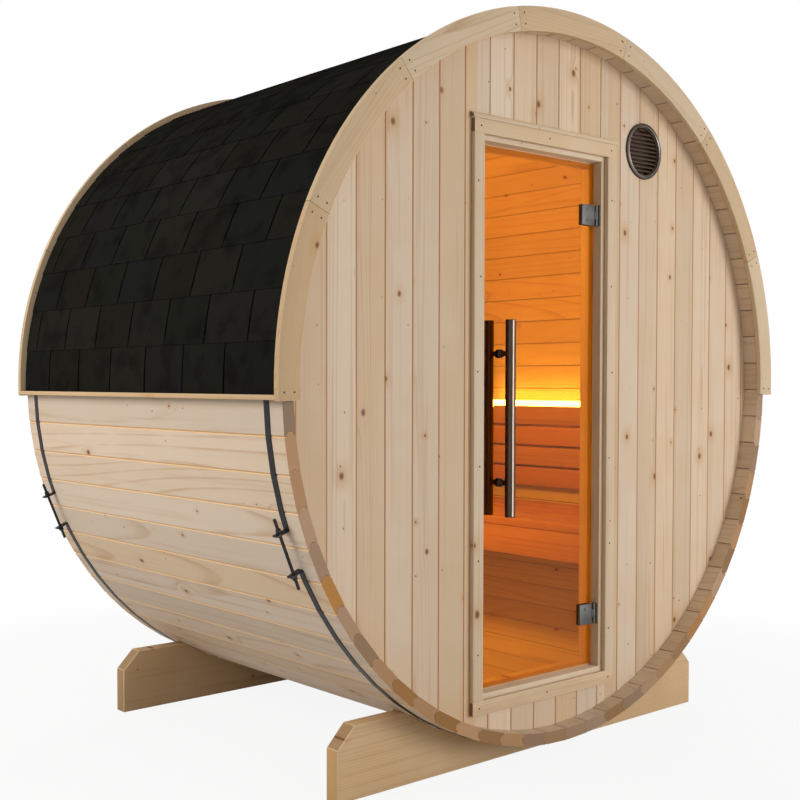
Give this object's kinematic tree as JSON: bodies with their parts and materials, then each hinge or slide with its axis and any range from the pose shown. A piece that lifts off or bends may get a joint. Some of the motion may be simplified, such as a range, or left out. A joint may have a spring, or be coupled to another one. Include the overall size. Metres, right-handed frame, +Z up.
{
  "type": "barrel sauna",
  "caption": "Barrel sauna of coopered staves on two cradles, with board end walls, a hinged glass door, a shingled upper half, steel bands and a bench inside.",
  "frame": {"origin": "on the ground under the middle of the barrel", "axes": "+Z up, Y along the barrel's axis with the door at the -Y end, +X to the right seen from the door"},
  "size_m": [2.048, 1.352, 2.0688],
  "materials": {
    "stave_wood": "planed spruce",
    "wall_wood": "planed spruce boards",
    "trim_wood": "planed spruce",
    "cradle_wood": "planed spruce",
    "bench_wood": "planed",
    "shingle": "mineral grit on bitumen",
    "band_steel": "black",
    "handle_steel": "brushed",
    "hinge_steel": "satin grey",
    "vent_metal": "dark with a bright inner rim",
    "louvre_metal": "brown",
    "tinted_glass": "bronze tint",
    "light": "glowing diffuser"
  },
  "bodies": {
    "house": {"staves_right": "stave_wood", "staves_upper_right": "stave_wood", "staves_top": "stave_wood", "staves_upper_left": "stave_wood", "staves_left": "stave_wood", "staves_lower_left": "stave_wood", "staves_bottom": "stave_wood", "staves_lower_right": "stave_wood", "front_wall_left": "wall_wood", "front_wall_right": "wall_wood", "front_wall_over_door": "wall_wood", "front_wall_under_door": "wall_wood", "rear_wall": "wall_wood", "door_jamb_left": "trim_wood", "door_jamb_right": "trim_wood", "door_head": "trim_wood", "door_sill": "trim_wood", "casing_left": "trim_wood", "casing_right": "trim_wood", "casing_head": "trim_wood", "casing_bottom": "trim_wood", "drip_cap": "trim_wood", "front_fascia": "trim_wood", "rear_fascia": "trim_wood", "eave_battens": "trim_wood", "front_cradle": "cradle_wood", "rear_cradle": "cradle_wood", "bench_seat": "bench_wood", "bench_apron": "bench_wood", "bench_ledgers": "bench_wood", "backrest_slats": "bench_wood", "backrest_posts": "bench_wood", "roof_left": "shingle", "roof_right": "shingle", "front_band": "band_steel", "rear_band": "band_steel", "band_tensioners": "band_steel", "hinge_leaves": "hinge_steel", "vent_ring": "vent_metal", "vent_louvres": "louvre_metal", "light_strip": "light"},
    "door": {"door_glass": "tinted_glass", "outer_handle": "handle_steel", "inner_handle": "handle_steel", "hinge_clamps": "hinge_steel"}
  },
  "joints": [
    {"name": "door_hinge", "type": "hinge", "parent": "house", "child": "door", "pos_m": [0.1965, -0.598, 0.9535], "axis": [0, 0, 1], "range_deg": [0, 105]}
  ]
}
